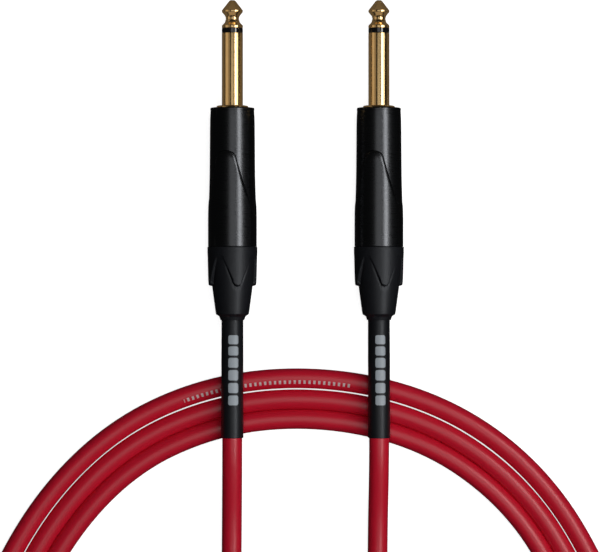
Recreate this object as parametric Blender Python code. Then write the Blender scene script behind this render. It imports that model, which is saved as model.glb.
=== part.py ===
"""Instrument cable: two straight 6.35 mm two-pole plugs on one coiled, screened lead.

World frame in metres: +Z up, the table at z = 0. The plugs lie side by side with their tips towards
+Y, and the coil of the lead lies behind them, towards -Y, with its top arch under both lead ends.
Each plug is built in its own frame: +Z forwards out of the tip, -Y up, the origin at the tip's end.
Along a plug, a place is its distance behind the tip's end.
"""

import math

import bmesh
import bpy
from mathutils import Vector

MM = 0.001
GAP = 0.3 * MM  # between pieces that touch

# Plug, along its axis
CONTACT_R = 3.175 * MM  # the 6.35 mm standard
RING_AT = 8.5 * MM
BARREL_AT = 9.9 * MM
SHOULDER_AT = 31.75 * MM  # the standard length from tip to seat
SHELL_AT = 32.4 * MM
FLANGE_AT = 34.6 * MM
INSERT_AT = 37.8 * MM
LINER_AT = 44.0 * MM
CABLE_AT = 58.6 * MM
CHUCK_AT = 60.6 * MM
SPIGOT_AT = 67.5 * MM
SHELL_END = 74.2 * MM
BOOT_END = 96.3 * MM
SLEEVE_LUG_AT = 36.9 * MM
TIP_LUG_AT = 42.8 * MM
CORE_AT = 50.0 * MM
SLOTS_AT = 64.0 * MM

# Plug, across its axis
SHOULDER_R = 4.9 * MM
FLANGE_R = 5.6 * MM
SHELL_NOSE_R = 6.65 * MM
SHELL_REAR_R = 7.33 * MM
BOOT_R = 7.53 * MM
POLE_R = 1.1 * MM
CONTACT_HOLE_R = 2.3 * MM
TIP_STRIP = (1.6 * MM, -2.1 * MM)  # the tip's lug: half its strip's width, and its height
SLEEVE_STRIP = (1.9 * MM, 4.0 * MM)
LUG_THICK = 0.6 * MM
SPIGOT_R = 6.05 * MM
CABLE_HOLE_R = 3.2 * MM
SHRINK_R = 3.38 * MM

# Tongues round the boot
TONGUES = 4
TONGUE_TURN = math.radians(14.5)
TONGUE_AT = 76.2 * MM
TONGUE_TAPER_AT = 77.0 * MM
TONGUE_ROUND_AT = 84.4 * MM
TONGUE_END = 85.85 * MM
TONGUE_WIDE = math.radians(36.5)  # half its angle at the top
TONGUE_NARROW = math.radians(11)  # and where its round end starts

# Lead
CORD_R = 3.0 * MM
CORD_D = 2 * CORD_R
CORE_R = 1.25 * MM
WIRE_R = 0.5 * MM

# Layout on the table
PLUG_X = 22.05 * MM  # half the distance between the plugs
TIP_Y = 65.8 * MM
AXIS_Z = BOOT_R  # the boots rest on the table
COIL_CENTRE = (-1.66 * MM, -146.0 * MM)
COIL_INNER_R = 82.9 * MM
COIL_OUTER_R = 101.4 * MM
SMALL_COIL_CENTRE = (3.2 * MM, -183.6 * MM)
SMALL_COIL_INNER_R = 22.9 * MM
SMALL_COIL_OUTER_R = 44.3 * MM
CORD_STEP = 2 * CORD_D  # between the points of a lead's tube

# The lead's route from a boot over the coil's arch, as (y, z) in millimetres
RISE = [
    (-26.0, 7.53), (-31.0, 7.53), (-35.0, 7.65), (-39.0, 8.05), (-43.5, 8.85), (-48.5, 9.55),
    (-54.0, 9.75), (-60.0, 9.75), (-65.8, 9.75),
]
# The left lead from its sleeve on to the small coil, as (x, y, z) in millimetres
LEFT_TAIL = [
    (-22.05, -66.1, 9.75), (-22.08, -72.0, 9.3), (-22.14, -80.0, 7.3), (-22.25, -90.0, 4.7),
    (-22.36, -102.0, 3.4), (-22.4, -114.0, 3.9), (-22.4, -126.0, 6.0), (-22.4, -138.0, 8.6),
    (-22.4, -148.0, 9.5), (-22.4, -158.0, 9.5),
]
# The right lead from its sleeve, over the small coil and on to the coil's outer turn
RIGHT_TAIL = [
    (22.07, -66.1, 9.75), (22.06, -72.0, 9.3), (22.0, -80.0, 7.3), (21.86, -90.0, 4.7),
    (21.75, -102.0, 3.4), (21.7, -114.0, 3.9), (21.7, -126.0, 6.3), (21.7, -138.0, 8.9),
    (21.7, -150.0, 9.6), (21.7, -165.0, 9.6), (21.7, -182.0, 9.6), (20.2, -199.0, 9.6),
    (13.8, -214.0, 9.6), (2.5, -225.0, 9.6), (-12.0, -231.5, 9.6), (-28.5, -234.0, 9.6),
    (-45.0, -231.5, 9.4),
]


def material(name, colour, roughness, metallic=0.0):
    """A Principled material of one colour."""
    made = bpy.data.materials.new(name)
    made.use_nodes = True
    shader = made.node_tree.nodes["Principled BSDF"]
    shader.inputs["Base Color"].default_value = (*colour, 1.0)
    shader.inputs["Roughness"].default_value = roughness
    shader.inputs["Metallic"].default_value = metallic
    return made


def placed(name, data, look, parent=None):
    """A new object of this data and material, in its parent's frame."""
    obj = bpy.data.objects.new(name, data)
    bpy.context.scene.collection.objects.link(obj)
    data.materials.append(look)
    obj.parent = parent
    return obj


def mesh_of(name, bm):
    """A smooth-shaded mesh with sharp corners, its faces pointing out."""
    bmesh.ops.recalc_face_normals(bm, faces=bm.faces)
    mesh = bpy.data.meshes.new(name)
    bm.to_mesh(mesh)
    bm.free()
    mesh.shade_smooth()
    mesh.set_sharp_from_angle(angle=math.radians(30))
    return mesh


def turned(name, profile, sides):
    """A mesh turned about Z from (distance behind the tip, radius) pairs: a solid where the pairs
    start and end on the axis, and otherwise a tube, whose pairs are its section's closed outline."""
    bm = bmesh.new()
    verts = [bm.verts.new((radius, 0.0, -along)) for along, radius in profile]
    solid = profile[0][1] == 0.0
    outline = verts if solid else verts + verts[:1]
    edges = [bm.edges.new(pair) for pair in zip(outline, outline[1:])]
    bmesh.ops.spin(
        bm, geom=verts + edges, cent=(0, 0, 0), axis=(0, 0, 1),
        angle=math.tau, steps=sides, use_merge=True,
    )
    bmesh.ops.remove_doubles(bm, verts=bm.verts, dist=1e-7)
    return mesh_of(name, bm)


def block(name, across, height, along):
    """A box mesh from (low, high) spans across the plug, in height above its axis and along it."""
    bm = bmesh.new()
    bmesh.ops.create_cube(bm, size=1.0)
    for vert in bm.verts:
        vert.co = (
            across[vert.co.x > 0],
            -height[vert.co.y < 0],
            -along[vert.co.z < 0],
        )
    return mesh_of(name, bm)


def combine(target, tool, operation):
    """A live Boolean of target with tool, which stays as a hidden guide."""
    boolean = target.modifiers.new(operation.lower(), "BOOLEAN")
    boolean.operation = operation
    boolean.object = tool
    boolean.solver = "EXACT"
    tool.hide_render = True
    tool.display_type = "WIRE"


def smooth_route(points, step):
    """Points about a step apart on the Catmull-Rom curve through the given points."""
    ends = [2 * points[0] - points[1], *points, 2 * points[-1] - points[-2]]
    route = []
    for before, start, end, after in zip(ends, ends[1:], ends[2:], ends[3:]):
        pieces = max(1, round((end - start).length / step))
        for i in range(pieces):
            t = i / pieces
            route.append(0.5 * (
                2 * start + (end - before) * t
                + (2 * before - 5 * start + 4 * end - after) * t**2
                + (3 * start - before - 3 * end + after) * t**3
            ))
    return [*route, points[-1]]


def tube(name, points, radius, resolution, closed_ends=True):
    """A round tube through the points, as a bevelled curve."""
    curve = bpy.data.curves.new(name, "CURVE")
    curve.dimensions = "3D"
    curve.bevel_depth = radius
    curve.bevel_resolution = resolution
    curve.use_fill_caps = closed_ends
    spline = curve.splines.new("POLY")
    spline.points.add(len(points) - 1)
    for target, point in zip(spline.points, points):
        target.co = (*point, 1.0)
    return curve


def tip_contact(name):
    """The tip with its ball, neck and land, on the long pole that carries it to its lug."""
    return turned(name, [
        (0.0, 0.0), (0.0, 0.55 * MM), (0.6 * MM, 1.20 * MM), (1.5 * MM, 1.88 * MM),
        (2.4 * MM, 2.63 * MM), (3.0 * MM, 3.07 * MM), (3.35 * MM, CONTACT_R),
        (3.9 * MM, 2.97 * MM), (4.6 * MM, 2.38 * MM), (5.3 * MM, 2.00 * MM),
        (6.6 * MM, 2.18 * MM), (7.2 * MM, 2.68 * MM), (7.7 * MM, CONTACT_R),
        (RING_AT - 0.1 * MM, CONTACT_R), (RING_AT - 0.1 * MM, POLE_R),
        (TIP_LUG_AT + LUG_THICK, POLE_R), (TIP_LUG_AT + LUG_THICK, 0.0),
    ], 20)


def tip_insulator(name):
    """The ring seen between tip and barrel, and the tube that lines the barrel behind it."""
    bore, lining = POLE_R + 0.12 * MM, 2.15 * MM
    return turned(name, [
        (RING_AT, bore), (RING_AT, 3.1 * MM), (BARREL_AT - 0.1 * MM, 3.1 * MM),
        (BARREL_AT - 0.1 * MM, lining), (FLANGE_AT + 1.8 * MM, lining), (FLANGE_AT + 1.8 * MM, bore),
    ], 20)


def sleeve_contact(name):
    """The barrel with the shoulder that seats against a jack, and the flange inside the shell."""
    bore, rear = CONTACT_HOLE_R, FLANGE_AT + 2.0 * MM
    return turned(name, [
        (BARREL_AT, bore), (BARREL_AT, CONTACT_R), (SHOULDER_AT, CONTACT_R),
        (SHOULDER_AT, SHOULDER_R - 0.25 * MM), (SHOULDER_AT + 0.35 * MM, SHOULDER_R),
        (FLANGE_AT, SHOULDER_R), (FLANGE_AT, FLANGE_R), (rear, FLANGE_R), (rear, bore),
    ], 24)


def rear_insulator(name):
    """The moulded block behind the flange, with the channel that the sleeve's lug lies in."""
    bore, rear = POLE_R + 0.12 * MM, INSERT_AT + 4.7 * MM
    return turned(name, [
        (INSERT_AT, bore), (INSERT_AT, 5.5 * MM), (rear, 5.5 * MM), (rear, bore),
    ], 24)


def lug(name, plug, start, bore, radius, strip, end):
    """A solder lug: a ring round a contact, and the strip behind it that the wire is soldered to."""
    half_width, height = strip
    back = start + LUG_THICK
    ring = turned("lug", [(start, bore), (start, radius), (back, radius), (back, bore)], 16)
    span = (-half_width, half_width)
    bar = block("strip", span, (height, height + LUG_THICK), (start + 0.1 * MM, end))
    whole = placed(name, ring, LOOKS["tinned"], plug)
    combine(whole, placed(f"{name}_strip", bar, LOOKS["tinned"], plug), "UNION")


def shell(name):
    """The metal shell: a nose with its hole, a straight body and a threaded rear that flares."""
    bore, thread, nose_wall = FLANGE_R + 0.15 * MM, SPIGOT_R + 0.18 * MM, FLANGE_AT - GAP
    nose_hole, rim = SHOULDER_R + 0.2 * MM, SHELL_AT + 0.7 * MM
    return turned(name, [
        (SHELL_AT, nose_hole), (SHELL_AT, SHELL_NOSE_R - 0.35 * MM), (rim, SHELL_NOSE_R),
        (50.0 * MM, 6.83 * MM), (57.2 * MM, 6.96 * MM), (61.0 * MM, 7.08 * MM),
        (64.6 * MM, 7.31 * MM), (66.0 * MM, SHELL_REAR_R), (SHELL_END - 0.3 * MM, SHELL_REAR_R),
        (SHELL_END, SHELL_REAR_R - 0.2 * MM), (SHELL_END, thread), (SPIGOT_AT - GAP, thread),
        (SPIGOT_AT - GAP, bore), (nose_wall, bore), (nose_wall, nose_hole),
    ], 36)


def liner(name):
    """The thin tube that keeps the lugs off the shell."""
    outer, inner, rear = FLANGE_R, FLANGE_R - 0.25 * MM, CHUCK_AT - GAP
    return turned(name, [(LINER_AT, inner), (LINER_AT, outer), (rear, outer), (rear, inner)], 24)


def chuck(name):
    """The clamp that the boot's spigot squeezes on to the lead: a collar and a tapered end."""
    rear = 72.4 * MM
    return turned(name, [
        (CHUCK_AT, CABLE_HOLE_R), (CHUCK_AT, 5.4 * MM), (SPIGOT_AT - 0.9 * MM, 5.4 * MM),
        (SPIGOT_AT - 0.9 * MM, 4.85 * MM), (rear, 3.9 * MM), (rear, CABLE_HOLE_R),
    ], 20)


def boot(name):
    """The screwed boot: threaded spigot, grip ring and cone, open along its axis for the lead."""
    cone_end = BOOT_END - 1.8 * MM
    return turned(name, [
        (SPIGOT_AT, 5.35 * MM), (SPIGOT_AT, SPIGOT_R), (SHELL_END + GAP, SPIGOT_R),
        (SHELL_END + GAP, BOOT_R - 0.1 * MM), (SHELL_END + 1.0 * MM, BOOT_R), (77.0 * MM, 7.45 * MM),
        (77.1 * MM, 7.15 * MM), (86.1 * MM, 6.10 * MM), (cone_end, 5.05 * MM),
        (BOOT_END - 0.6 * MM, 3.9 * MM), (BOOT_END, 3.55 * MM), (BOOT_END, CABLE_HOLE_R),
        (73.6 * MM, CABLE_HOLE_R), (72.8 * MM, 4.25 * MM),
    ], 36)


def tongue_half_angle(along):
    """Half the angle that a tongue takes at this distance: it tapers, then ends in a half ellipse."""
    taper = (along - TONGUE_TAPER_AT) / (TONGUE_ROUND_AT - TONGUE_TAPER_AT)
    width = TONGUE_WIDE + (TONGUE_NARROW - TONGUE_WIDE) * min(max(taper, 0.0), 1.0)
    past = (along - TONGUE_ROUND_AT) / (TONGUE_END - TONGUE_ROUND_AT)
    return width * math.sqrt(1 - min(max(past, 0.0), 0.98) ** 2)


def tongue(name, turn):
    """One raised tongue, a tapering piece of a slightly conical wall, sunk into the boot's cone."""
    rows = [TONGUE_AT, TONGUE_TAPER_AT, 79.5 * MM, 82.0 * MM, TONGUE_ROUND_AT, 85.4 * MM, TONGUE_END]
    columns = 5
    bm = bmesh.new()
    layers = []
    for sunk in (0.0, 1.6 * MM):
        layer = []
        for along in rows:
            radius = 7.46 * MM - 0.024 * (along - TONGUE_AT) - sunk
            half = tongue_half_angle(along)
            angles = [turn + half * (2 * i / (columns - 1) - 1) for i in range(columns)]
            layer.append([
                bm.verts.new((radius * math.sin(a), -radius * math.cos(a), -along)) for a in angles
            ])
        layers.append(layer)
    top, under = layers
    for layer in layers:
        for row, after in zip(layer, layer[1:]):
            for i in range(columns - 1):
                bm.faces.new((row[i], row[i + 1], after[i + 1], after[i]))
    for (row, after), (row_in, after_in) in zip(zip(top, top[1:]), zip(under, under[1:])):
        for i in (0, -1):
            bm.faces.new((row[i], after[i], after_in[i], row_in[i]))
    for row, row_in in ((top[0], under[0]), (top[-1], under[-1])):
        for i in range(columns - 1):
            bm.faces.new((row[i], row[i + 1], row_in[i + 1], row_in[i]))
    return mesh_of(name, bm)


def ring_of_cord(name, centre, inner, outer, sides):
    """The outer shape of a flat coil one lead thick, with its corners taken off."""
    corner = 1.3 * MM
    obj = placed(name, turned(name, [
        (0.0, inner + corner), (0.0, outer - corner), (corner, outer), (CORD_D - corner, outer),
        (CORD_D, outer - corner), (CORD_D, inner + corner), (CORD_D - corner, inner), (corner, inner),
    ], sides), LOOKS["jacket"])
    obj.location = (*centre, CORD_D)
    return obj


def plug_point(along, height, across=0.0):
    """A point in a plug's frame."""
    return Vector((across, -height, -along))


def lead_centres(start):
    """The lead's centreline in a plug's frame, from this distance behind the tip to the sleeve's end."""
    rise = [plug_point(TIP_Y - y * MM, z * MM - AXIS_Z) for y, z in RISE]
    past_start = [p for p in smooth_route(rise, 5 * MM) if -p.z > start + MM]
    return [plug_point(start, 0.0), *past_start]


def contacts(side, plug):
    """The plug's two contacts, their insulators and the lugs that the lead is soldered to."""
    placed(f"{side}_tip_contact", tip_contact("tip_contact"), LOOKS["gold"], plug)
    placed(f"{side}_tip_insulator", tip_insulator("tip_insulator"), LOOKS["insulator"], plug)
    placed(f"{side}_sleeve_contact", sleeve_contact("sleeve_contact"), LOOKS["gold"], plug)

    insulator = placed(
        f"{side}_rear_insulator", rear_insulator("rear_insulator"), LOOKS["insulator"], plug)
    half_width, height = SLEEVE_STRIP[0] + 0.4 * MM, SLEEVE_STRIP[1] - 0.4 * MM
    span = (-half_width, half_width)
    channel = block("channel", span, (height, SHOULDER_R * 1.5), (SLEEVE_LUG_AT, LINER_AT))
    combine(insulator, placed(f"{side}_channel", channel, LOOKS["insulator"], plug), "DIFFERENCE")

    lug(f"{side}_tip_lug", plug, TIP_LUG_AT, POLE_R + 0.12 * MM, 2.6 * MM, TIP_STRIP, 50.5 * MM)
    lug(f"{side}_sleeve_lug", plug, SLEEVE_LUG_AT, CONTACT_HOLE_R, 4.9 * MM, SLEEVE_STRIP, 55.0 * MM)


def housing(side, plug):
    """The shell with its liner, the chuck with its slots, and the boot with its tongues."""
    placed(f"{side}_shell", shell("shell"), LOOKS["shell"], plug)
    placed(f"{side}_liner", liner("liner"), LOOKS["insulator"], plug)

    clamp = placed(f"{side}_chuck", chuck("chuck"), LOOKS["chuck"], plug)
    long, narrow = 8.0 * MM, 0.4 * MM
    for i, (half_across, half_height) in enumerate(((long, narrow), (narrow, long))):
        spans = (-half_across, half_across), (-half_height, half_height), (SLOTS_AT, SHELL_END)
        slot = block("slot", *spans)
        combine(clamp, placed(f"{side}_slot_{i}", slot, LOOKS["chuck"], plug), "DIFFERENCE")

    grip = placed(f"{side}_boot", boot("boot"), LOOKS["boot"], plug)
    for i in range(TONGUES):
        piece = tongue("tongue", TONGUE_TURN + i * math.tau / TONGUES)
        combine(grip, placed(f"{side}_tongue_{i}", piece, LOOKS["boot"], plug), "UNION")


def lead_end(side, plug):
    """The prepared end of the lead inside the plug, and the sleeve shrunk on behind the boot."""
    cable = tube("cable_end", lead_centres(CABLE_AT), CORD_R, 4)
    placed(f"{side}_cable_end", cable, LOOKS["jacket"], plug)

    sleeve = tube("heat_shrink", lead_centres(BOOT_END + GAP), SHRINK_R, 4, closed_ends=False)
    sleeve_obj = placed(f"{side}_heat_shrink", sleeve, LOOKS["sleeve"], plug)
    wall = sleeve_obj.modifiers.new("wall", "SOLIDIFY")
    wall.thickness = SHRINK_R - CABLE_HOLE_R
    wall.offset = -1.0

    core = [plug_point(CORE_AT, 0.0), plug_point(CABLE_AT - GAP, 0.0)]
    placed(f"{side}_core_insulation", tube("core", core, CORE_R, 3), LOOKS["core"], plug)

    on_strip = TIP_STRIP[1] + LUG_THICK + GAP + WIRE_R
    wire = [
        plug_point(CORE_AT - GAP, 0.0), plug_point(48.9 * MM, -0.05 * MM),
        plug_point(48.0 * MM, -0.4 * MM), plug_point(47.2 * MM, on_strip),
        plug_point(44.8 * MM, on_strip),
    ]
    placed(f"{side}_core_wire", tube("wire", wire, WIRE_R, 2), LOOKS["copper"], plug)

    under_strip = SLEEVE_STRIP[1] - GAP - WIRE_R
    braid = [
        plug_point(CABLE_AT - GAP, 2.1 * MM), plug_point(57.2 * MM, 2.25 * MM),
        plug_point(55.6 * MM, 2.75 * MM), plug_point(53.8 * MM, under_strip),
        plug_point(50.5 * MM, under_strip),
    ]
    placed(f"{side}_shield_wire", tube("braid", braid, WIRE_R, 2), LOOKS["copper"], plug)


def tail(name, points):
    """The lead's tube from a sleeve to where the coil takes it."""
    route = smooth_route([Vector(p) * MM for p in points], CORD_STEP)
    placed(name, tube(name, route, CORD_R, 4), LOOKS["jacket"])


def plug(side, x):
    """One whole plug on the end of the lead, lying on the table with its tip towards +Y."""
    frame = bpy.data.objects.new(f"{side}_plug", None)
    bpy.context.scene.collection.objects.link(frame)
    frame.location = (x, TIP_Y, AXIS_Z)
    frame.rotation_euler = (-math.pi / 2, 0.0, 0.0)
    contacts(side, frame)
    housing(side, frame)
    lead_end(side, frame)


for old in list(bpy.data.objects):
    bpy.data.objects.remove(old)

LOOKS = {
    "gold": material("gold_plate", (0.83, 0.62, 0.33), 0.22, 1.0),
    "insulator": material("black_insulator", (0.02, 0.02, 0.02), 0.45),
    "tinned": material("tinned_metal", (0.72, 0.70, 0.66), 0.35, 1.0),
    "shell": material("black_shell", (0.015, 0.015, 0.018), 0.32, 0.6),
    "chuck": material("chuck_plastic", (0.62, 0.60, 0.55), 0.5),
    "boot": material("boot_plastic", (0.035, 0.036, 0.040), 0.62),
    "sleeve": material("shrink_sleeve", (0.03, 0.03, 0.03), 0.5),
    "jacket": material("red_jacket", (0.42, 0.01, 0.03), 0.5),
    "core": material("core_insulation", (0.85, 0.85, 0.82), 0.5),
    "copper": material("copper_wire", (0.78, 0.42, 0.26), 0.35, 1.0),
}

plug("left", -PLUG_X)
plug("right", PLUG_X)
tail("left_tail", LEFT_TAIL)
tail("right_tail", RIGHT_TAIL)
ring_of_cord("main_coil", COIL_CENTRE, COIL_INNER_R, COIL_OUTER_R, 72)
ring_of_cord("small_coil", SMALL_COIL_CENTRE, SMALL_COIL_INNER_R, SMALL_COIL_OUTER_R, 48)
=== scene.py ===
"""Looks for the instrument cable: two straight jack plugs on one coiled red lead.

Metres, +Z up, the table at z = 0. Both plugs lie side by side with their tips towards +Y. Each plug's
own frame has +Z forwards out of the tip and -Y up. A place along a plug is its distance behind the
tip's end, and an azimuth is 0 on top and grows towards +X. A plug's outlines are (distance, radius)
pairs in millimetres, and so are the tables that they are read from.
"""

import bisect
import math

import bmesh
import bpy
from mathutils import Matrix, Vector


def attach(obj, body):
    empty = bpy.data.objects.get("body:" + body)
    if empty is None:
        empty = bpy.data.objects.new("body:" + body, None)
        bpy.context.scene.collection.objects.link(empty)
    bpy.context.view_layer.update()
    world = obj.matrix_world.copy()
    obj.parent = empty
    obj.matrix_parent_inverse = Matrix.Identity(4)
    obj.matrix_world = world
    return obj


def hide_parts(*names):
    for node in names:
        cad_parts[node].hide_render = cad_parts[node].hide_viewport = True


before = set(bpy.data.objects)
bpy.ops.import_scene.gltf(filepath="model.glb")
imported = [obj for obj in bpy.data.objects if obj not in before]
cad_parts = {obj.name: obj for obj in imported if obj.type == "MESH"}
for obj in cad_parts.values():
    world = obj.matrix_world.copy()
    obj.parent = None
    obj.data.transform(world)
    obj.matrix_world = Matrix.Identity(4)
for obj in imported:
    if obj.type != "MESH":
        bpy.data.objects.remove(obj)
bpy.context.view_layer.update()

MM = 0.001

# Layout, as in the part
PLUG_X = 22.05 * MM
TIP_Y = 65.8 * MM
AXIS_Z = 7.53 * MM  # a boot's radius: the boots rest on the table
CORD_R = 3.0 * MM
SLEEVE_R = 3.38 * MM
LEAD_Z = 9.75 * MM  # the lead's middle where it leaves a sleeve, over the coil's far side
CABLE_AT = 58.6 * MM  # where the jacket starts, inside the shell
BOOT_END = 96.3 * MM
SLEEVE_END = 131.6 * MM
LEAD_START = 127.5 * MM  # inside the sleeve

# The lead's route out of a plug, as (y, z) in metres
RISE = [
    (-0.026, 0.00753), (-0.031, 0.00753), (-0.035, 0.00765), (-0.039, 0.00805),
    (-0.0435, 0.00885), (-0.0485, 0.00955), (-0.054, 0.00975), (-0.060, 0.00975),
]
# The left lead from its sleeve down on to the small coil, in metres
LEFT_ROUTE = [
    (-0.02205, -0.0658, 0.00975), (-0.02208, -0.072, 0.0093), (-0.02214, -0.080, 0.0073),
    (-0.02225, -0.090, 0.0047), (-0.02236, -0.102, 0.0034), (-0.0224, -0.114, 0.0039),
    (-0.0224, -0.126, 0.0060), (-0.0224, -0.138, 0.0086), (-0.0224, -0.148, 0.0095),
    (-0.0224, -0.158, 0.0095), (-0.0224, -0.167, 0.0091), (-0.0224, -0.175, 0.0073),
]
# The right lead from its sleeve, over the small coil and on to the ring, in metres
RIGHT_ROUTE = [
    (0.02207, -0.0658, 0.00975), (0.02206, -0.072, 0.0093), (0.0220, -0.080, 0.0073),
    (0.02186, -0.090, 0.0047), (0.02175, -0.102, 0.0034), (0.0217, -0.114, 0.0039),
    (0.0217, -0.126, 0.0063), (0.0217, -0.138, 0.0089), (0.0217, -0.150, 0.0096),
    (0.0217, -0.165, 0.0096), (0.0217, -0.182, 0.0096), (0.0202, -0.199, 0.0096),
    (0.0138, -0.214, 0.0096), (0.0025, -0.225, 0.0096), (-0.0120, -0.2315, 0.0096),
    (-0.0285, -0.2340, 0.0096), (-0.0450, -0.2315, 0.0094), (-0.0600, -0.2246, 0.0084),
]
# The ring's three turns and the small coil inside it; angles are in degrees
RING_CENTRE = Vector((-1.66, -146.0)) * MM
RING_RADII = [79.9 * MM, 85.94 * MM, 91.9 * MM, 98.25 * MM]  # the first only leads in
RING_TURNS = 3
RING_FREE_END = 75  # short of three turns, where the lead starts to rise
RING_CHANGE = 60  # either side of a turn's lowest point, where the lead moves out to the next strand
WAVER = 0.45 * MM  # how unevenly the ring's far side lies
SPREAD = [0.36 * MM, 0.27 * MM, 0.14 * MM]  # how far each turn draws out, either side of the top
SMALL_R = 25.6 * MM
SMALL_PITCH = 6.06 * MM
SMALL_TURNS = 3.25
SMALL_CENTRE = Vector((3.2, -183.6)) * MM
LANDING = 30  # round the small coil, where the lead has come down
CROSSING = 110  # round the ring, where the lead from the small coil has joined it
COIL_STEP = 7.5

# Print. The lead's row of ticks lies on the outer strand, between two angles of the ring
TICKS_SPAN = (81, 111)
TICK_PITCH = 1.5 * MM
TICK_SHARE = (0.10, 0.56)  # of the pitch, where a tick starts and ends
TICK_SIDE = -0.058  # their middle, and half their height, as shares of a turn from the top
TICK_HALF = 0.031
TICK_INK = 0.85  # how well it covers the red
# The sleeve's row of blocks
BLOCKS = 6
BLOCKS_AT = 5.8 * MM  # along the lead's line from the boot's end
BLOCK_PITCH = 3.6 * MM
BLOCK_SIDE = -0.019
BLOCK_HALF = (1.45 * MM, 1.6 * MM)  # along the sleeve and round it
BLOCK_CORNER = 0.6 * MM

# Camera and light
CAMERA_AT = (-1.7 * MM, -17.24 * MM, 1011 * MM)
ROOM_GLOW = 0.016  # what the room's white walls give back
FLOOR_GLOW = 0.85
NEUTRAL = (1.0, 0.99, 0.97)
WARM = (1.0, 0.86, 0.70)


# ---------------------------------------------------------------- the lead's line

def eased(t):
    """0 to 1 with level ends."""
    t = min(max(t, 0.0), 1.0)
    return t * t * (3 - 2 * t)


def on_circle(centre, radius, degrees, height=CORD_R):
    """A point on a level circle."""
    a = math.radians(degrees)
    return Vector((centre.x + radius * math.cos(a), centre.y + radius * math.sin(a), height))


def ring_radius(turned):
    """The ring's radius after turning this many degrees from its lowest point."""
    turn = min(int(turned // 360), RING_TURNS - 1)
    past = turned - 360 * turn
    inner, middle = RING_RADII[turn], RING_RADII[turn + 1]
    if past < RING_CHANGE:
        return inner + (middle - inner) * eased((past + RING_CHANGE) / (2 * RING_CHANGE))
    if past > 360 - RING_CHANGE and turn < RING_TURNS - 1:
        outer = RING_RADII[turn + 2]
        return middle + (outer - middle) * eased((past - 360 + RING_CHANGE) / (2 * RING_CHANGE))
    return middle


def waver(turned):
    """How far the strands lie off their circles along the ring's far side. Angles are from +X."""
    angle = (turned - 90) % 360
    share = eased((angle - 12) / 20) * eased((168 - angle) / 20)  # fades out at both ends
    beside_top = eased((52 - angle) / 14) + eased((angle - 110) / 16)
    spread_out = SPREAD[min(int(turned // 360), RING_TURNS - 1)] * beside_top
    return share * (WAVER * math.cos(math.radians(5.6 * (angle - 54))) + spread_out)


def small_radius(turned):
    """The small coil's radius after turning this many degrees."""
    return SMALL_R + SMALL_PITCH * turned / 360


def coil_route():
    """The small coil from the inside out, then the ring's three turns from the inside out."""
    route = []
    turned = LANDING
    while turned < 360 * SMALL_TURNS:
        route.append(on_circle(SMALL_CENTRE, small_radius(turned), 180 + turned))
        turned += COIL_STEP
    turned = 0
    while turned <= 360 * RING_TURNS - RING_FREE_END:
        share = eased(turned / CROSSING)
        small = on_circle(SMALL_CENTRE, small_radius(360 * SMALL_TURNS + turned), turned - 90)
        ring = on_circle(RING_CENTRE, ring_radius(turned) + waver(turned), turned - 90)
        route.append(small.lerp(ring, share))
        turned += COIL_STEP
    return route


def plug_rise(x):
    """The lead's line from inside the boot to the sleeve's end, for the plug at this x."""
    return [Vector((x, y, z)) for y, z in RISE]


def smooth_route(points, step):
    """Points about a step apart on the Catmull-Rom curve through the given points."""
    ends = [2 * points[0] - points[1], *points, 2 * points[-1] - points[-2]]
    route = []
    for before, start, end, after in zip(ends, ends[1:], ends[2:], ends[3:]):
        pieces = max(1, round((end - start).length / step))
        for i in range(pieces):
            t = i / pieces
            route.append(0.5 * (
                2 * start + (end - before) * t
                + (2 * before - 5 * start + 4 * end - after) * t**2
                + (3 * start - before - 3 * end + after) * t**3
            ))
    return [*route, points[-1]]


class Line:
    """A curve measured along its length."""

    def __init__(self, points):
        self.points = points
        self.along = [0.0]
        for start, end in zip(points, points[1:]):
            self.along.append(self.along[-1] + (end - start).length)
        self.length = self.along[-1]

    def at(self, distance):
        """The point at this distance, and the directions sideways and up from it."""
        i = bisect.bisect_right(self.along, distance) - 1
        i = min(max(i, 0), len(self.points) - 2)
        start, end = self.points[i], self.points[i + 1]
        share = (distance - self.along[i]) / (self.along[i + 1] - self.along[i])
        before = self.points[max(i - 1, 0)]
        after = self.points[min(i + 2, len(self.points) - 1)]
        ahead = (end - before).lerp(after - start, min(max(share, 0.0), 1.0)).normalized()
        side = ahead.cross(Vector((0, 0, 1))).normalized()
        return start.lerp(end, share), side, side.cross(ahead)

    def nearest(self, point):
        """The distance along at which the line comes closest to a point."""
        i = min(range(len(self.points)), key=lambda k: (self.points[k] - point).length)
        return self.along[i]


def lead_route():
    """The whole lead, from inside the left sleeve to inside the right one."""
    left = [Vector(p) for p in LEFT_ROUTE]
    landing = [
        Vector((SMALL_CENTRE.x - SMALL_R, SMALL_CENTRE.y, 5.1 * MM)),
        on_circle(SMALL_CENTRE, SMALL_R, 196, 3.55 * MM),
    ]
    climb = [
        on_circle(RING_CENTRE, RING_RADII[-1], angle, height)
        for angle, height in ((-158, 3.35 * MM), (-150, 4.7 * MM), (-142, 6.5 * MM))
    ]
    right = [Vector(p) for p in reversed(RIGHT_ROUTE)]
    starts_at = TIP_Y - LEAD_START + 4 * MM
    first = [p for p in plug_rise(-PLUG_X) if p.y < starts_at]
    last = [p for p in reversed(plug_rise(PLUG_X)) if p.y < starts_at]
    return [*first, *left, *landing, *coil_route(), *climb, *right, *last]


# ---------------------------------------------------------------- camera, floor and light

def make_camera():
    """A long lens straight above the plugs."""
    data = bpy.data.cameras.new("camera")
    data.lens = 200.0
    data.sensor_width = 36.0
    data.clip_start = 0.01
    camera = bpy.data.objects.new("camera", data)
    camera.location = CAMERA_AT
    bpy.context.scene.collection.objects.link(camera)
    bpy.context.scene.camera = camera


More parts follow.
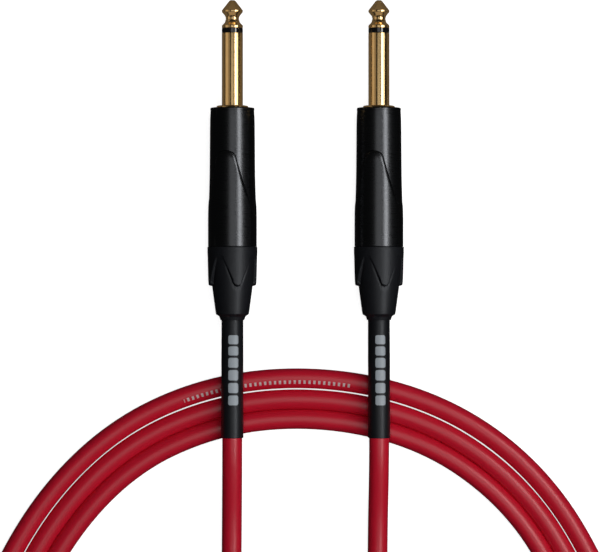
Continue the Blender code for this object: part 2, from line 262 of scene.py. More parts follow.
def soft_light(name, width, length, radiance, colour, seen_in="glossy"):
    """A rectangular soft light facing down, seen only by the object: in reflections or on the matt."""
    data = bpy.data.lights.new(name, "AREA")
    data.shape = "RECTANGLE"
    data.size = width
    data.size_y = length
    data.energy = radiance * math.pi * width * length
    data.color = colour
    light = bpy.data.objects.new(name, data)
    light.visible_camera = False
    light.visible_glossy = seen_in == "glossy"
    light.visible_diffuse = seen_in == "diffuse"
    bpy.context.scene.collection.objects.link(light)
    return light


def soft_box(name, span, distance, length, radiance, colour, aim_y, seen_in="glossy"):
    """A soft light aimed at the plugs that spans these angles from straight above towards +X, in
    degrees, and this length along Y."""
    tilt = math.radians((span[0] + span[1]) / 2)
    width = 2 * distance * math.tan(math.radians(span[1] - span[0]) / 2)
    light = soft_light(name, width, length, radiance, colour, seen_in)
    light.location = (distance * math.sin(tilt), aim_y, distance * math.cos(tilt))
    light.rotation_euler = (0, tilt, 0)
    return light


def warm_card(name, width, length, radiance, place, lean):
    """A warm card, turned by this many degrees about X from facing down."""
    card = soft_light(name, width, length, radiance, WARM)
    card.location = place
    card.rotation_euler = (math.radians(lean), 0, 0)
    return card


def make_room():
    """A white room that shows as pure white and gives back little light."""
    world = bpy.data.worlds.new("room")
    world.use_nodes = True
    tree = world.node_tree
    ray = tree.nodes.new("ShaderNodeLightPath")
    glow = tree.nodes.new("ShaderNodeMix")
    glow.inputs["A"].default_value = ROOM_GLOW
    glow.inputs["B"].default_value = 1.0
    tree.links.new(ray.outputs["Is Camera Ray"], glow.inputs["Factor"])
    sky = tree.nodes["Background"]
    sky.inputs["Color"].default_value = (1, 1, 1, 1)
    tree.links.new(glow.outputs["Result"], sky.inputs["Strength"])
    bpy.context.scene.world = world


def make_floor():
    """A white paper floor, which glows faintly so that it shows almost as white as the room."""
    bpy.ops.mesh.primitive_plane_add(size=6.0)
    floor = bpy.context.object
    floor.name = "floor"
    floor.visible_glossy = False
    floor.visible_diffuse = False
    paper, _, _ = finish_of("white_paper", {
        "Base Color": (0.9, 0.9, 0.9, 1),
        "Roughness": 0.9,
        "Specular IOR Level": 0.0,
        "Emission Color": (1, 1, 1, 1),
        "Emission Strength": FLOOR_GLOW,
    })
    floor.data.materials.append(paper)


def light_all():
    """A wide fill for the matt surfaces, and the two soft boxes that show in every gloss."""
    soft_box("fill", (-12, 62), 0.7, 0.9, 1.42, NEUTRAL, -0.02, seen_in="diffuse")
    soft_box("key", (26.5, 42.5), 0.62, 0.56, 4.7, NEUTRAL, -0.01)
    soft_box("overhead", (-15, 14), 0.75, 0.56, 0.62, NEUTRAL, -0.01)


def light_metal(metal):
    """Cards round the plugs that light only their bright metal, as a photographer's would."""
    bounce = warm_card("table_bounce", 2.286, 2.4, 0.12, (0.0, 0.0, -0.1), 180)
    bounce.data.use_shadow = False
    cards = [
        warm_card("front_card", 1.732, 0.30, 0.15, (0.0, 0.55, 0.12), -78),
        warm_card("back_card", 1.0, 0.16, 0.36, (0.0, -0.45, 0.16), 74),
        bounce,
        soft_box("key_wing", (42, 62), 0.5, 0.3, 2.6, NEUTRAL, 0.05),
        soft_box("left_card", (-80, -50), 0.3, 0.3, 0.56, WARM, 0.05),
        soft_box("left_edge", (-50, -30), 0.35, 0.3, 0.28, WARM, 0.05),
    ]
    only_metal = bpy.data.collections.new("bright_metal")
    for piece in metal:
        only_metal.objects.link(piece)
    for card in cards:
        card.light_linking.receiver_collection = only_metal


def make_studio(metal):
    """A plain white floor in a dim white room, under soft boxes."""
    bpy.context.scene.view_settings.view_transform = "Standard"
    make_room()
    make_floor()
    light_all()
    light_metal(metal)


# ---------------------------------------------------------------- mesh making

def rounded(corners, steps=3):
    """An outline in millimetres through these (distance, radius) corners. A corner's third number, if
    it has one, is the length of each side that its curve takes."""
    points = [Vector(corner[:2]) for corner in corners]
    outline = []
    for i, (point, corner) in enumerate(zip(points, corners)):
        if len(corner) == 2:
            outline.append((point.x, point.y))
            continue
        cut = corner[2]
        back = points[i - 1] - point
        on = points[(i + 1) % len(points)] - point
        start = point + back.normalized() * min(cut, back.length * 0.49)
        end = point + on.normalized() * min(cut, on.length * 0.49)
        for k in range(steps + 1):
            t = k / steps
            spot = start * (1 - t) ** 2 + point * 2 * t * (1 - t) + end * t**2
            outline.append((spot.x, spot.y))
    return outline


def read_off(table, x):
    """A smooth value between a table's (x, value) pairs."""
    i = min(max(bisect.bisect_right([p[0] for p in table], x) - 1, 0), len(table) - 2)
    slopes = []
    for k in (i, i + 1):
        low, high = table[max(k - 1, 0)], table[min(k + 1, len(table) - 1)]
        slopes.append((high[1] - low[1]) / (high[0] - low[0]))
    (x0, y0), (x1, y1) = table[i], table[i + 1]
    wide = x1 - x0
    t = min(max((x - x0) / wide, 0.0), 1.0)
    return (
        (2 * t**3 - 3 * t**2 + 1) * y0 + (t**3 - 2 * t**2 + t) * wide * slopes[0]
        + (3 * t**2 - 2 * t**3) * y1 + (t**3 - t**2) * wide * slopes[1]
    )


def follow(table, start, end, count):
    """An outline's points along a table's curve, from just after the start to the end."""
    places = [start + (end - start) * i / count for i in range(1, count + 1)]
    return [(s, read_off(table, s)) for s in places]


def sunk_below(table, at, width, profile):
    """An outline's points near a place on a table's curve, from (share of a width further on, depth
    below the curve) pairs."""
    return [(at + share * width, read_off(table, at + share * width) - depth) for share, depth in profile]


def finished(name, bm, look, body, matrix=None, sharp=40):
    """A smooth-shaded piece from a bmesh, on its body."""
    bmesh.ops.remove_doubles(bm, verts=bm.verts, dist=1e-7)
    bmesh.ops.recalc_face_normals(bm, faces=bm.faces)
    mesh = bpy.data.meshes.new(name)
    bm.to_mesh(mesh)
    bm.free()
    mesh.shade_smooth()
    mesh.set_sharp_from_angle(angle=math.radians(sharp))
    mesh.materials.append(look)
    piece = bpy.data.objects.new(name, mesh)
    bpy.context.scene.collection.objects.link(piece)
    if matrix:
        piece.matrix_world = matrix
    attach(piece, body)
    return piece


def skin(bm, rings, wrap):
    """Quads between neighbouring rings of points; wrap joins the last ring to the first. Returns the
    rings of vertices, and each face with its two rings' numbers and its number round them."""
    grid = [[bm.verts.new(p) for p in ring] for ring in rings]
    count, sides = len(grid), len(grid[0])
    faces = []
    for j in range(count if wrap else count - 1):
        k = (j + 1) % count
        for i in range(sides):
            n = (i + 1) % sides
            face = bm.faces.new((grid[j][i], grid[j][n], grid[k][n], grid[k][i]))
            faces.append((face, j, k, i))
    return grid, faces


def evenly(count):
    """Azimuths evenly round the axis."""
    return [math.tau * i / count for i in range(count)]


def plug_x(side):
    """Where a plug's axis lies."""
    return -PLUG_X if side == "left" else PLUG_X


def plug_matrix(side):
    """Places a plug's own frame."""
    return Matrix.Translation((plug_x(side), TIP_Y, AXIS_Z)) @ Matrix.Rotation(-math.pi / 2, 4, "X")


def turned(name, section_at, azimuths, look, side, body, sharp):
    """A piece about a plug's axis. section_at(azimuth) gives its closed outline there, with the same
    number of points at each azimuth; an outline that starts on the axis also ends on it."""
    sections = [section_at(a) for a in azimuths]
    bm = bmesh.new()
    rings = [
        [Vector((r * math.sin(a), -r * math.cos(a), -s)) * MM for a, (s, r) in zip(azimuths, row)]
        for row in zip(*sections)
    ]
    solid = sections[0][0][1] == 0.0
    grid, _ = skin(bm, rings, wrap=not solid)
    if solid:
        for end in (grid[0], grid[-1]):
            bmesh.ops.pointmerge(bm, verts=end, merge_co=end[0].co)
    return finished(name, bm, look, body, plug_matrix(side), sharp)


def sweep(name, line, rows, sides, look, body, wrap=False):
    """A piece about a line: rows are its outline as (distance along, radius) pairs. Its UV map holds
    the distance along in metres and the share of a turn round from the top."""
    bm = bmesh.new()
    uv = bm.loops.layers.uv.new("run")
    rings = []
    for distance, radius in rows:
        centre, across, up = line.at(distance)
        rings.append([
            centre + radius * (up * math.cos(math.tau * i / sides) + across * math.sin(math.tau * i / sides))
            for i in range(sides)
        ])
    grid, faces = skin(bm, rings, wrap)
    for face, j, k, i in faces:
        for loop, (row, turn) in zip(face.loops, ((j, i), (j, i + 1), (k, i + 1), (k, i))):
            loop[uv].uv = (rows[row][0], turn / sides)
    if not wrap:
        for ring in (grid[0], grid[-1]):
            bm.faces.new(ring)
    return finished(name, bm, look, body)


# ---------------------------------------------------------------- materials

def add(tree, kind, inputs=(), **settings):
    """A node with its settings and its inputs, each a value or another node's output."""
    made = tree.nodes.new(kind)
    for key, value in settings.items():
        setattr(made, key, value)
    for key, value in dict(inputs).items():
        if isinstance(value, bpy.types.NodeSocket):
            tree.links.new(value, made.inputs[key])
        else:
            made.inputs[key].default_value = value
    return made


def maths(tree, operation, *values):
    """The result of a Math node."""
    return add(tree, "ShaderNodeMath", enumerate(values), operation=operation).outputs[0]


def noise(tree, scale, stretch=(1, 1, 1), detail=3.0, source="Object"):
    """Noise, about scale lumps per metre, stretched along the axes."""
    place = add(tree, "ShaderNodeTexCoord").outputs[source]
    mapped = add(tree, "ShaderNodeMapping", {"Vector": place, "Scale": stretch}).outputs[0]
    made = add(tree, "ShaderNodeTexNoise", {"Vector": mapped, "Scale": scale, "Detail": detail})
    return made.outputs[0]


def spread(tree, value, low, high, start=0.0, end=1.0):
    """A value mapped from start..end to low..high."""
    made = add(tree, "ShaderNodeMapRange", {
        "Value": value, "From Min": start, "From Max": end, "To Min": low, "To Max": high,
    })
    return made.outputs[0]


def blend_colour(tree, share, first, second):
    """Two colours mixed by a share; each is (red, green, blue) or a node's output."""
    made = add(tree, "ShaderNodeMix", data_type="RGBA")
    tree.links.new(share, made.inputs["Factor"])
    for key, value in (("A", first), ("B", second)):
        socket = next(s for s in made.inputs if s.name == key and s.type == "RGBA")
        if isinstance(value, bpy.types.NodeSocket):
            tree.links.new(value, socket)
        else:
            socket.default_value = (*value, 1)
    return next(s for s in made.outputs if s.type == "RGBA")


def finish_of(name, sockets=()):
    """A new material, its node tree and its Principled shader with these sockets set."""
    look = bpy.data.materials.new(name)
    look.use_nodes = True
    shader = look.node_tree.nodes["Principled BSDF"]
    for key, value in dict(sockets).items():
        shader.inputs[key].default_value = value
    return look, look.node_tree, shader


def dress(tree, shader, colour=None, roughness=None, height=None, depth=0.0):
    """Links a colour, a roughness and a bump of this depth in metres to the shader."""
    if colour:
        tree.links.new(colour, shader.inputs["Base Color"])
    if roughness:
        tree.links.new(roughness, shader.inputs["Roughness"])
    if height:
        bump = add(tree, "ShaderNodeBump", {"Height": height, "Distance": depth, "Strength": 1.0})
        tree.links.new(bump.outputs[0], shader.inputs["Normal"])


TURNING = (0.05, 0.05, 1.0)  # stretches noise like a lathe's marks, round a plug's axis
COOL_SHEEN = (0.90, 0.94, 1.0, 1.0)  # on the black plastics


def worn_edges(tree, most):
    """How worn a surface is, from nothing where it is flat up to this share on its sharpest edges."""
    flat, sharpest = 0.53, 0.62
    edge = add(tree, "ShaderNodeNewGeometry").outputs["Pointiness"]
    return spread(tree, edge, 0.0, most, flat, sharpest)


def gold_look():
    """Polished gold plate over fine turning marks, with a slightly uneven warm tone."""
    look, tree, shader = finish_of("polished_gold", {"Metallic": 1.0})
    marks = noise(tree, 9000, TURNING, 2.0)
    cloud = noise(tree, 260, detail=4.0)
    colour = blend_colour(tree, cloud, (0.88, 0.61, 0.29), (0.77, 0.53, 0.24))
    rough = maths(tree, "ADD", spread(tree, marks, 0.11, 0.17), spread(tree, cloud, 0.0, 0.06))
    dress(tree, shader, colour, rough, marks, 0.00025 * MM)
    return look


def insulator_look():
    """Glossy black moulded ring."""
    look, tree, shader = finish_of("black_insulator", {"IOR": 1.9})
    grain = noise(tree, 5000)
    colour = blend_colour(tree, grain, (0.006, 0.006, 0.007), (0.010, 0.010, 0.011))
    dress(tree, shader, colour, spread(tree, grain, 0.04, 0.10), grain, 0.0006 * MM)
    return look


def shell_look():
    """Satin black plated metal over turning marks, a little worn along its edges."""
    look, tree, shader = finish_of("satin_black_metal", {"Metallic": 1.0})
    marks = noise(tree, 5200, TURNING)
    speck = noise(tree, 4200, detail=2.0)
    plain = blend_colour(tree, speck, (0.088, 0.092, 0.100), (0.108, 0.112, 0.120))
    colour = blend_colour(tree, worn_edges(tree, 0.5), plain, (0.22, 0.22, 0.22))
    rough = maths(tree, "ADD", spread(tree, marks, 0.22, 0.36), spread(tree, speck, -0.02, 0.03))
    both = maths(tree, "ADD", marks, maths(tree, "MULTIPLY", speck, 0.5))
    dress(tree, shader, colour, rough, both, 0.0025 * MM)
    return look


def boot_look():
    """Matt black moulded plastic with a fine spark-eroded grain."""
    look, tree, shader = finish_of("matt_black_plastic", {"Specular Tint": COOL_SHEEN})
    grain = noise(tree, 4600, detail=4.0)
    cloud = noise(tree, 300)
    plain = blend_colour(tree, cloud, (0.0068, 0.0076, 0.0100), (0.0106, 0.0116, 0.0148))
    colour = blend_colour(tree, worn_edges(tree, 0.6), plain, (0.030, 0.031, 0.034))
    dress(tree, shader, colour, spread(tree, grain, 0.38, 0.50), grain, 0.01 * MM)
    return look


def band(tree, value, low, high, blur):
    """1 where a value lies between low and high, with edges this soft."""
    rise = spread(tree, value, 0.0, 1.0, low - blur, low + blur)
    fall = spread(tree, value, 1.0, 0.0, high - blur, high + blur)
    return maths(tree, "MULTIPLY", rise, fall)


def run_of(tree):
    """A swept piece's distance along, in metres, and its share of a turn from the top, -0.5 to 0.5."""
    uv = add(tree, "ShaderNodeTexCoord").outputs["UV"]
    split = add(tree, "ShaderNodeSeparateXYZ", {"Vector": uv})
    turn = maths(tree, "SUBTRACT", split.outputs[1], 0.5)
    around = maths(tree, "SUBTRACT", maths(tree, "FRACT", turn), 0.5)
    return split.outputs[0], around


def ticks(tree, start, end):
    """A row of thin upright ticks along the lead between these distances."""
    along, around = run_of(tree)
    cell = maths(tree, "FRACT", maths(tree, "DIVIDE", maths(tree, "SUBTRACT", along, start), TICK_PITCH))
    tick = band(tree, cell, *TICK_SHARE, 0.05)
    stretch = band(tree, along, start, end, 0.1 * MM)
    tall = band(tree, around, TICK_SIDE - TICK_HALF, TICK_SIDE + TICK_HALF, 0.004)
    shown = maths(tree, "MULTIPLY", tick, maths(tree, "MULTIPLY", stretch, tall))
    return maths(tree, "MULTIPLY", shown, TICK_INK)


def jacket_look(name, print_span=None):
    """Red PVC jacket with faint extrusion lines; print_span is where its pale print starts and ends."""
    look, tree, shader = finish_of(name, {"Specular IOR Level": 0.45})
    grain = noise(tree, 2600, detail=4.0)
    cloud = noise(tree, 45)
    colour = blend_colour(tree, cloud, (0.68, 0.008, 0.031), (0.78, 0.013, 0.043))
    if print_span:
        colour = blend_colour(tree, ticks(tree, *print_span), colour, (0.80, 0.70, 0.71))
    lines = noise(tree, 60, (0.4, 1.0, 1.0), 2.0, "UV")
    ridges = maths(tree, "ADD", grain, lines)
    dress(tree, shader, colour, spread(tree, grain, 0.25, 0.36), ridges, 0.01 * MM)
    return look


def blocks(tree):
    """A row of plain blocks with rounded corners, printed along the sleeve."""
    along, around = run_of(tree)
    cell = maths(tree, "FRACT", maths(tree, "DIVIDE", maths(tree, "SUBTRACT", along, BLOCKS_AT), BLOCK_PITCH))
    from_middle = maths(tree, "ABSOLUTE", maths(tree, "SUBTRACT", cell, 0.5))
    off_middle = maths(tree, "MULTIPLY", from_middle, BLOCK_PITCH)
    turned_by = maths(tree, "ABSOLUTE", maths(tree, "SUBTRACT", around, BLOCK_SIDE))
    off_side = maths(tree, "MULTIPLY", turned_by, math.tau * SLEEVE_R)
    past_corner = []
    for off, half in zip((off_middle, off_side), BLOCK_HALF):
        over = maths(tree, "MAXIMUM", maths(tree, "SUBTRACT", off, half - BLOCK_CORNER), 0.0)
        past_corner.append(maths(tree, "POWER", over, 2.0))
    reach = maths(tree, "SQRT", maths(tree, "ADD", *past_corner))
    block = spread(tree, reach, 1.0, 0.0, BLOCK_CORNER - 0.05 * MM, BLOCK_CORNER + 0.05 * MM)
    row = band(tree, along, BLOCKS_AT, BLOCKS_AT + BLOCKS * BLOCK_PITCH, 0.02 * MM)
    return maths(tree, "MULTIPLY", block, row)


def sleeve_look():
    """Black shrunk sleeve with faint lengthways streaks and a row of plain pale blocks on top."""
    look, tree, shader = finish_of("black_shrink_sleeve", {"Specular Tint": COOL_SHEEN})
    grain = noise(tree, 2400, detail=4.0)
    streaks = noise(tree, 30, (1.0, 1.6, 1.0), 3.0, "UV")
    black = blend_colour(tree, streaks, (0.0058, 0.0066, 0.0086), (0.0100, 0.0112, 0.0142))
    printed = maths(tree, "MULTIPLY", blocks(tree), spread(tree, grain, 0.82, 1.0))
    colour = blend_colour(tree, printed, black, (0.48, 0.54, 0.60))
    ridges = maths(tree, "ADD", grain, streaks)
    dress(tree, shader, colour, spread(tree, grain, 0.36, 0.48), ridges, 0.012 * MM)
    return look


def tinned_look():
    """Tinned strip metal, slightly mottled."""
    look, tree, shader = finish_of("tinned_strip", {"Metallic": 1.0})
    cloud = noise(tree, 900, detail=4.0)
    colour = blend_colour(tree, cloud, (0.62, 0.61, 0.58), (0.76, 0.75, 0.72))
    dress(tree, shader, colour, spread(tree, cloud, 0.24, 0.42), cloud, 0.006 * MM)
    return look


def moulded_look(name, dark, light, low, high):
    """Plain moulded plastic with a fine grain, between two tones and two roughnesses."""
    look, tree, shader = finish_of(name)
    grain = noise(tree, 3200, detail=4.0)
    colour = blend_colour(tree, noise(tree, 240), dark, light)
    dress(tree, shader, colour, spread(tree, grain, low, high), grain, 0.008 * MM)
    return look


def copper_look():
    """Bare copper strands, brighter and duller in patches."""
    look, tree, shader = finish_of("copper_strands", {"Metallic": 1.0})
    cloud = noise(tree, 1500)
    colour = blend_colour(tree, cloud, (0.80, 0.40, 0.22), (0.62, 0.29, 0.16))
    dress(tree, shader, colour, spread(tree, cloud, 0.22, 0.40), cloud, 0.004 * MM)
    return look


# ---------------------------------------------------------------- a plug's pieces

BARREL_R = 3.175  # half the 6.35 mm standard
LAND_R = 3.17  # where the tip is widest
RING_R = 3.165
POLE_R = 1.1  # the rod from the tip back to its lug


def tip_section(_):
    """Cone, belly, neck, flare and land, and the pole that runs back to the lug."""
    return rounded([
        (0.0, 0.0), (0.0, 0.78, 0.42), (2.80, 2.96, 0.10), (3.12, LAND_R, 0.08), (3.62, LAND_R, 0.12),
        (4.90, 2.08, 0.50), (5.60, 1.98, 0.30), (6.00, 2.02, 0.08), (6.10, 2.12, 0.06),
        (6.70, 2.22, 0.30), (7.50, 3.06, 0.10), (7.68, LAND_R, 0.08), (8.40, LAND_R, 0.08),
        (8.40, POLE_R), (42.80, POLE_R), (43.40, POLE_R, 0.15), (43.40, 0.0),
    ])


def ring_section(_):
    """The black ring between the tip and the barrel, and the tube behind it."""
    return rounded([
        (8.50, 1.22), (8.50, RING_R, 0.06), (9.80, RING_R, 0.06), (9.80, 2.15), (36.40, 2.15),
        (36.40, 1.22),
    ])


def barrel_section(_):
    """The barrel with a softened front edge, the seat's bevelled rim and the flange in the shell."""
    return rounded([
        (9.90, 2.30), (9.90, BARREL_R, 0.12), (31.75, BARREL_R, 0.05), (31.75, 4.74, 0.55),
        (32.60, 4.90, 0.08), (34.60, 4.88), (34.60, 5.60, 0.10), (36.60, 5.60, 0.10), (36.60, 2.30),
    ])


# The shell's surface ahead of the raised panels' edges and on them
NOSE_R = [(33.0, 6.66), (35.5, 6.70), (39.0, 6.75), (46.0, 6.80), (53.6, 6.88), (60.8, 7.07), (64.6, 7.16)]
PANEL_R = [(45.0, 6.92), (50.0, 7.00), (56.0, 7.12), (62.0, 7.27), (66.0, 7.33), (74.0, 7.33)]
# Where a panel starts, against degrees from its middle line. The ends only lead in and out
PANEL_EDGE = [
    (-14, 45.95), (0, 45.6), (14, 45.95), (24, 47.2), (36, 51.8), (49, 56.5), (62, 60.2), (76, 63.3),
    (90, 64.6), (104, 63.3),
]
PANEL_MIDDLE = math.radians(-16)
PANEL_CLEAR = 0.3  # between the panel's edge and the smooth surface on either side
SHADOW_LINE = [(-0.18, 0.0), (-0.09, 0.11), (0.0, 0.22)]  # behind the panel's edge, and how deep
PANEL_CORNER = [(0.0, 0.04), (0.04, 0.0)]
SHELL_R = 7.0  # about its middle
SHELL_FRONT = [(32.40, 5.10, 0.08), (32.40, 6.62, 0.34), (33.20, 6.66, 0.10)]
SHELL_REAR = [
    (74.06, 7.33), (74.16, 7.29), (74.20, 7.20), (74.20, 6.40), (74.00, 6.23), (67.20, 6.23),
    (67.20, 5.75), (34.30, 5.75), (34.30, 5.10),
]


def panel_edge(azimuth):
    """Where the raised panel starts along the shell at this azimuth; two panels face each other."""
    past = abs(math.degrees(math.remainder(azimuth - PANEL_MIDDLE, math.pi)))
    return read_off(PANEL_EDGE, past)


def shell_section(azimuth):
    """The shell's wall: nose, a shadow line, a raised panel, and the bored and threaded inside."""
    edge = panel_edge(azimuth)
    nearby = 0.01
    rise = panel_edge(azimuth + nearby) - panel_edge(azimuth - nearby)
    slope = rise / (2 * nearby * SHELL_R)
    stretch = math.hypot(1, slope)  # keeps the shadow line's width where the edge runs lengthways
    return [
        *rounded(SHELL_FRONT),
        *follow(NOSE_R, 33.4, edge - PANEL_CLEAR * stretch, 12),
        *sunk_below(NOSE_R, edge, stretch, SHADOW_LINE),
        *sunk_below(PANEL_R, edge, stretch, PANEL_CORNER),
        *follow(PANEL_R, edge + PANEL_CLEAR * stretch, 73.85, 12),
        *SHELL_REAR,
    ]


# The boot, from its threaded spigot in the shell to its mouth and back through its bore
SPIGOT_FRONT = [(67.50, 5.35), (67.50, 5.75)]
THREAD_AT, THREAD_LENGTH, THREAD_PITCH = 67.8, 6.1, 1.0
THREAD_R, THREAD_DEPTH = 6.10, 0.24
GRIP_FRONT = [(74.10, 5.85), (74.24, 5.85), (74.24, 7.42), (74.27, 7.48), (74.36, 7.51), (74.90, 7.52)]
RIBS_AT, RIB_PITCH, RIB_R, RIB_DEPTH = 75.0, 0.5, 7.515, 0.014
GRIP_R = [(76.4, 7.47), (86.4, 7.23)]  # on the grip ring and its tongues
CONE_R = [(74.5, 7.36), (77.1, 7.15), (86.1, 6.10), (94.5, 4.98)]
MOUTH = [
    (94.55, 4.98, 0.25), (95.15, 3.95, 0.35), (96.30, 3.60, 0.10), (96.30, 3.45, 0.05), (95.50, 3.45),
    (95.40, 3.20), (74.20, 3.20), (73.40, 4.25),
]
# Its tongues. Angles are in degrees from a tongue's middle line
TONGUES = 4
TONGUE_TURN = math.radians(14.5)
TONGUE_ROUND = 11.0  # how far its round end reaches to either side
TONGUE_ROUND_AT, TONGUE_ROUND_LENGTH = 84.4, 1.45
TONGUE_TAPER = 0.29  # how much shorter it is for each degree past its round end
TONGUE_AT = 77.0  # where neighbouring tongues part
TONGUE_LEAN = 2.4  # its sides' slope, along the boot against round it
TONGUE_STEP = 0.42  # the width of the step down from it
# The step as (share of its width, how far down), then its foot as (share, how far up, groove's depth)
TONGUE_TOP = [(-0.14, 0.02), (0.0, 0.06), (0.12, 0.16)]
TONGUE_FOOT = [(0.65, 0.10, 0.05), (0.85, 0.0, 0.11), (1.1, 0.0, 0.13), (1.5, 0.0, 0.04)]


def thread(azimuth):
    """The spigot's thread, with flat crests and roots."""
    outline = []
    steps = 44
    for i in range(steps + 1):
        s = THREAD_AT + THREAD_LENGTH * i / steps
        phase = (s / THREAD_PITCH + azimuth / math.tau) % 1.0
        root = 1.0 - min(1.0, 4.8 * abs(phase - 0.5))
        outline.append((s, THREAD_R - THREAD_DEPTH * root))
    return outline


def ribs():
    """The fine ribs round the grip ring."""
    places = [RIBS_AT + RIB_PITCH * i / 5 for i in range(14)]
    return [(s, RIB_R + RIB_DEPTH * math.cos(math.tau * (s - RIBS_AT) / RIB_PITCH)) for s in places]


def tongue_edge(past):
    """How far back the raised surface reaches, this many degrees from a tongue's middle line."""
    if past < TONGUE_ROUND:
        return TONGUE_ROUND_AT + TONGUE_ROUND_LENGTH * math.sqrt(1.0 - (past / TONGUE_ROUND) ** 2)
    return max(TONGUE_ROUND_AT - TONGUE_TAPER * (past - TONGUE_ROUND), TONGUE_AT)


def tongue_step(edge, past):
    """The step from a tongue down to the boot's cone, with a fine groove at its foot, and where it
    ends. It is as wide at the tongue's sides as at its round end, so it is longer there."""
    width = TONGUE_STEP * math.hypot(1.0, TONGUE_LEAN * min(1.0, past / TONGUE_ROUND) ** 3)
    groove = eased((edge - TONGUE_AT - 0.2) / 2.5)  # fades out where the tongues part
    top = read_off(GRIP_R, edge)
    height = top - read_off(CONE_R, edge + width)
    outline = [(edge + share * width, top - down * height) for share, down in TONGUE_TOP]
    for share, up, deep in TONGUE_FOOT:
        s = edge + share * width
        outline.append((s, read_off(CONE_R, s) + up * height - deep * groove))
    return outline, edge + width


def boot_section(azimuth):
    """The boot's wall: threaded spigot, grip ring with its tongues, cone, and the bore for the lead."""
    past = abs(math.degrees(math.remainder(azimuth - TONGUE_TURN, math.tau / TONGUES)))
    edge = tongue_edge(past)
    step, foot = tongue_step(edge, past)
    return [
        *SPIGOT_FRONT,
        *thread(azimuth),
        *GRIP_FRONT,
        *ribs(),
        *follow(GRIP_R, 76.4, edge - 0.3, 8),
        *step,
        *follow(CONE_R, foot + 1.0, 93.9, 12),
        *rounded(MOUTH),
    ]


def boot_azimuths():
    """Azimuths closer together where a tongue's round end needs them."""
    half = [0, 1.5, 3.0, 4.5, 6.0, 7.4, 8.7, 9.7, 10.5, 11.0, 12, 15, 18.5, 22, 26, 30, 33, 36, 39, 42, 45]
    quarter = [-a for a in reversed(half[1:-1])] + half
    turns = [TONGUE_TURN + k * math.tau / TONGUES for k in range(TONGUES)]
    return [turn + math.radians(a) for turn in turns for a in quarter]


def sleeve_line(side):
    """The lead's line from the boot's end to past the sleeve's end."""
    route = LEFT_ROUTE if side == "left" else RIGHT_ROUTE
    points = smooth_route([*plug_rise(plug_x(side)), *[Vector(p) for p in route[:3]]], 1 * MM)
    return Line([p for p in points if p.y < TIP_Y - BOOT_END + 2 * MM])


def shrink_sleeve(side, look):
    """The sleeve shrunk on behind the boot, in fine rings at first, then gently uneven to its end."""
    line = sleeve_line(side)
    start = line.nearest(Vector((plug_x(side), TIP_Y - BOOT_END + 0.6 * MM, AXIS_Z)))
    end = line.nearest(Vector((plug_x(side), TIP_Y - SLEEVE_END, LEAD_Z)))
    bore, wall = 3.03 * MM, 3.29 * MM
    rows = [(start, bore), (start, 3.18 * MM), (start + 0.15 * MM, 3.27 * MM)]
    ring_depth, ring_pitch, rings_length = 0.024 * MM, 0.75 * MM, 3.4 * MM
    for i in range(22):
        past = (0.3 + 0.14 * i) * MM
        ripple = ring_depth * math.cos(math.tau * past / ring_pitch) * (1 - past / rings_length)
        rows.append((start + past, wall + ripple))
    smooth_from, smooth_length = start + 3.5 * MM, end - start - 4.0 * MM
    steps = 56
    for i in range(steps + 1):
        share = i / steps
        uneven = (0.018 * math.sin(9 * share) + 0.012 * math.sin(23 * share + 1)) * eased(share * 8)
        rows.append((smooth_from + smooth_length * share, wall + (0.06 * share + uneven) * MM))
    rows += [(end - 0.25 * MM, 3.40 * MM), (end - 0.08 * MM, 3.36 * MM), (end, 3.22 * MM), (end, bore)]
    piece = sweep(f"{side}_shrink", line, rows, 48, look, "lead", wrap=True)
    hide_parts(f"{side}_heat_shrink")
    return piece


def lead_stub(side, look):
    """The red jacket from inside the plug to inside the sleeve, where the lead takes over."""
    x = plug_x(side)
    first = Vector((x, TIP_Y - CABLE_AT, AXIS_Z))
    last = Vector((x, TIP_Y - SLEEVE_END, LEAD_Z))
    line = Line(smooth_route([first, *plug_rise(x), last], 1 * MM))
    stop = line.nearest(Vector((x, TIP_Y - LEAD_START + 0.3 * MM, LEAD_Z)))
    steps = 40
    rows = [(0, CORD_R - 0.1 * MM), (0.1 * MM, CORD_R)]
    rows += [(stop * i / steps, CORD_R) for i in range(1, steps + 1)]
    piece = sweep(f"{side}_jacket_end", line, rows, 36, look, "lead")
    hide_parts(f"{side}_cable_end")
    return piece


# Inner CAD pieces that keep their shapes, and their looks
INNER = {
    "rear_insulator": "insulator",
    "tip_lug": "tinned",
    "sleeve_lug": "tinned",
    "liner": "liner",
    "chuck": "chuck",
    "core_insulation": "core",
    "core_wire": "copper",
    "shield_wire": "copper",
}


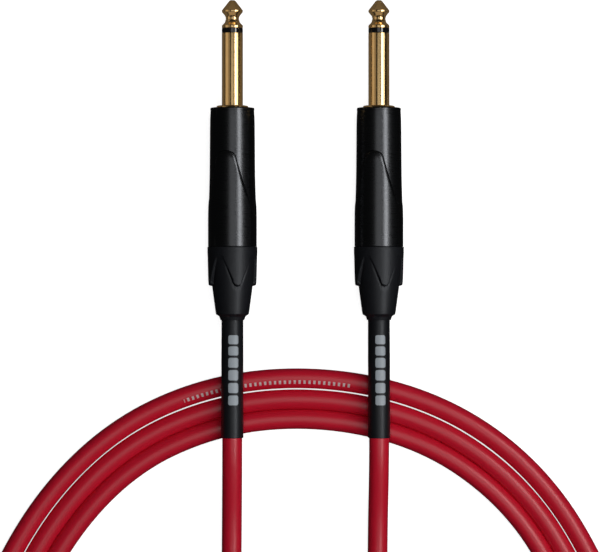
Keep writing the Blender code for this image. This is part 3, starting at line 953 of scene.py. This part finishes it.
def make_plug(side, looks):
    """One plug's seen pieces, and finishes for its inner ones. Returns the named pieces."""
    shell, boot = f"{side}_shell", f"{side}_boot"
    plan = [  # name, outline, azimuths, look, sharpest smooth corner, body, CAD node, slot
        ("tip", tip_section, evenly(72), "gold", 30, "lead", "tip_contact", "gold_plate"),
        ("insulating_ring", ring_section, evenly(72), "insulator", 40, "lead", "tip_insulator",
         "black_insulator"),
        ("barrel", barrel_section, evenly(96), "gold", 30, "lead", "sleeve_contact", "gold_plate"),
        ("housing", shell_section, evenly(180), "shell", 50, shell, "shell", "black_shell"),
        ("strain_boot", boot_section, boot_azimuths(), "boot", 50, boot, "boot", "boot_plastic"),
    ]
    made = {}
    for name, section, azimuths, look, sharp, body, node, slot in plan:
        piece = turned(f"{side}_{name}", section, azimuths, looks[look], side, body, sharp)
        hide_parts(f"{side}_{node}")
        made[name] = piece
    made["shrink"] = shrink_sleeve(side, looks["sleeve"])
    made["jacket_end"] = lead_stub(side, looks["jacket"])
    for node, look in INNER.items():
        made[node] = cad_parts[f"{side}_{node}"]
        made[node].data.materials.clear()
        made[node].data.materials.append(looks[look])
    return made


# ---------------------------------------------------------------- the lead

def make_lead():
    """The red lead on its whole line, with its print on the outer strand near the top."""
    line = Line(smooth_route(lead_route(), 2.5 * MM))
    span = [line.nearest(on_circle(RING_CENTRE, RING_RADII[-1], angle)) for angle in TICKS_SPAN]
    look = jacket_look("red_jacket_printed", span)
    count = round(line.length / (2.8 * MM))
    trim = 0.1 * MM
    rows = [(0.0, CORD_R - trim), (trim, CORD_R)]
    rows += [(line.length * i / count, CORD_R) for i in range(1, count)]
    rows += [(line.length - trim, CORD_R), (line.length, CORD_R - trim)]
    piece = sweep("red_lead", line, rows, 36, look, "lead")
    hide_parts("left_tail", "right_tail", "main_coil", "small_coil")
    return piece, line


make_camera()
lead, lead_line = make_lead()
LOOKS = {
    "gold": gold_look(),
    "insulator": insulator_look(),
    "shell": shell_look(),
    "boot": boot_look(),
    "sleeve": sleeve_look(),
    "jacket": jacket_look("red_jacket_plain"),
    "tinned": tinned_look(),
    "liner": moulded_look("liner_film", (0.018, 0.018, 0.019), (0.030, 0.030, 0.032), 0.34, 0.46),
    "chuck": moulded_look("chuck_nylon", (0.55, 0.53, 0.48), (0.66, 0.64, 0.58), 0.42, 0.56),
    "core": moulded_look("core_polythene", (0.80, 0.80, 0.76), (0.88, 0.88, 0.85), 0.34, 0.46),
    "copper": copper_look(),
}
left_plug = make_plug("left", LOOKS)
right_plug = make_plug("right", LOOKS)
# The right plug's tip, ring and barrel lie too far past the lead's end to count as on it
make_studio([plug[name] for plug in (left_plug, right_plug) for name in ("tip", "barrel")])
